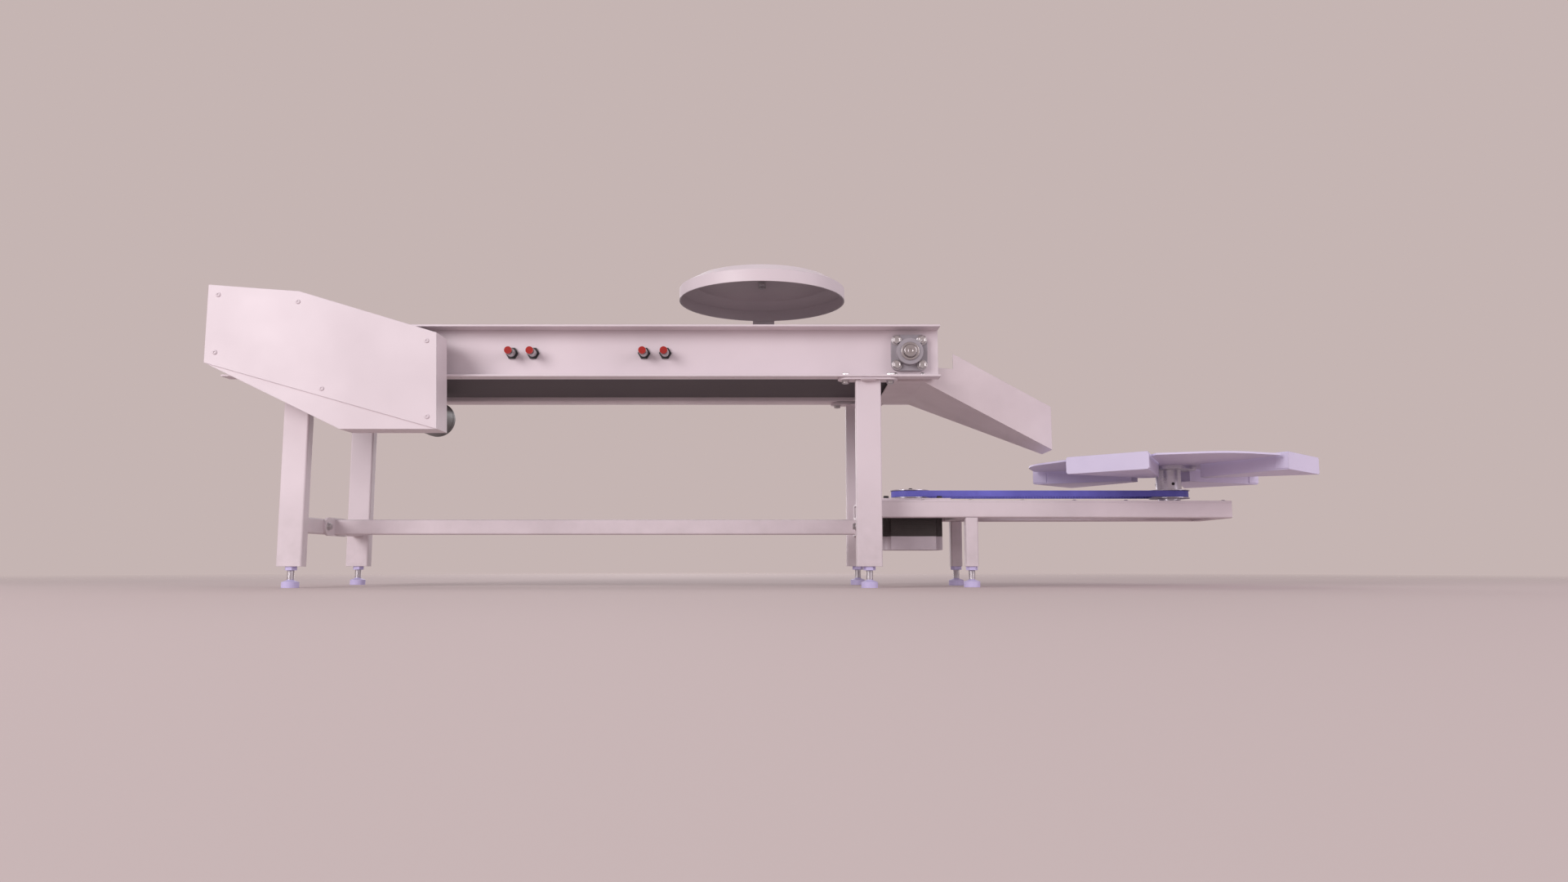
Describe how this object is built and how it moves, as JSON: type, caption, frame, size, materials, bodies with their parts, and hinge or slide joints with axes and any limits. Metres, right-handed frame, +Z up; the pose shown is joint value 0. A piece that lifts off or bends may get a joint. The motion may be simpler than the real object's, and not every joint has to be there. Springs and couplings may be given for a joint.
{
  "type": "sorting belt conveyor with carousel",
  "caption": "Short belt conveyor on legs with a side drive guard, an overhead hood, a chute and a belt-driven sorting carousel on a low table.",
  "frame": {"origin": "on the floor, under the middle of the machine's length, on the centre line of the belt", "axes": "+X along the belt towards the carousel, +Y to the rear rail, +Z up"},
  "size_m": [1.7704, 0.467, 0.526],
  "materials": {
    "frame_paint": "semi-gloss white powder coat",
    "carousel_paint": "satin lavender powder coat",
    "foot_plastic": "matte",
    "belt_rubber": "matte fabric-backed belt",
    "steel": "turned and brushed",
    "cast_bearing": "painted casting",
    "black_housing": "satin black",
    "sensor_black": "matte",
    "signal_red": "glossy",
    "stepper_grey": "die-cast",
    "blue_belt": "matte",
    "aluminium": "machined"
  },
  "bodies": {
    "frame": {"front_rail": "frame_paint", "rear_rail": "frame_paint", "slider_bed": "frame_paint", "leg_drive_front": "frame_paint", "leg_drive_rear": "frame_paint", "leg_head_front": "frame_paint", "leg_head_rear": "frame_paint", "conveyor_feet": "foot_plastic", "cross_bar_drive": "frame_paint", "cross_bar_head": "frame_paint", "brace_beam": "frame_paint", "conveyor_belt": "belt_rubber", "roller_drive": "steel", "roller_head": "steel", "roller_bearings": "cast_bearing", "guard_back_plate": "frame_paint", "drive_guard": "frame_paint", "guard_cover": "frame_paint", "gearmotor_nose": "steel", "gearbox": "black_housing", "gearmotor_ring": "steel", "drive_motor": "black_housing", "sensors": "sensor_black", "sensor_ends": "signal_red", "hood_bracket": "frame_paint", "round_hood": "frame_paint", "chute": "frame_paint", "table_rail_front": "frame_paint", "table_rail_rear": "frame_paint", "table_cross_bar": "frame_paint", "table_end_bar": "frame_paint", "table_legs": "frame_paint", "table_feet": "foot_plastic", "table_deck": "frame_paint", "stepper_cap": "stepper_grey", "stepper_motor": "black_housing", "motor_plate": "frame_paint", "bearing_block": "carousel_paint", "drive_belt": "blue_belt"},
    "motor_shaft": {"motor_pulley": "aluminium"},
    "carousel": {"carousel_shaft": "steel", "carousel_pulley": "aluminium", "carousel_hub": "aluminium", "hub_cap": "aluminium", "petal_plate": "carousel_paint", "tray_1": "carousel_paint", "tray_2": "carousel_paint", "tray_3": "carousel_paint", "tray_4": "carousel_paint"}
  },
  "joints": [
    {"name": "carousel_spin", "type": "hinge", "parent": "frame", "child": "carousel", "pos_m": [0.6515, 0, 0.15], "axis": [0, 0, 1], "continuous": true},
    {"name": "motor_spin", "type": "hinge", "parent": "frame", "child": "motor_shaft", "pos_m": [0.2124, 0, 0.15], "axis": [0, 0, 1], "continuous": true}
  ],
  "couplings": [
    {"joint": "motor_spin", "follows": "carousel_spin", "ratio": 1}
  ]
}
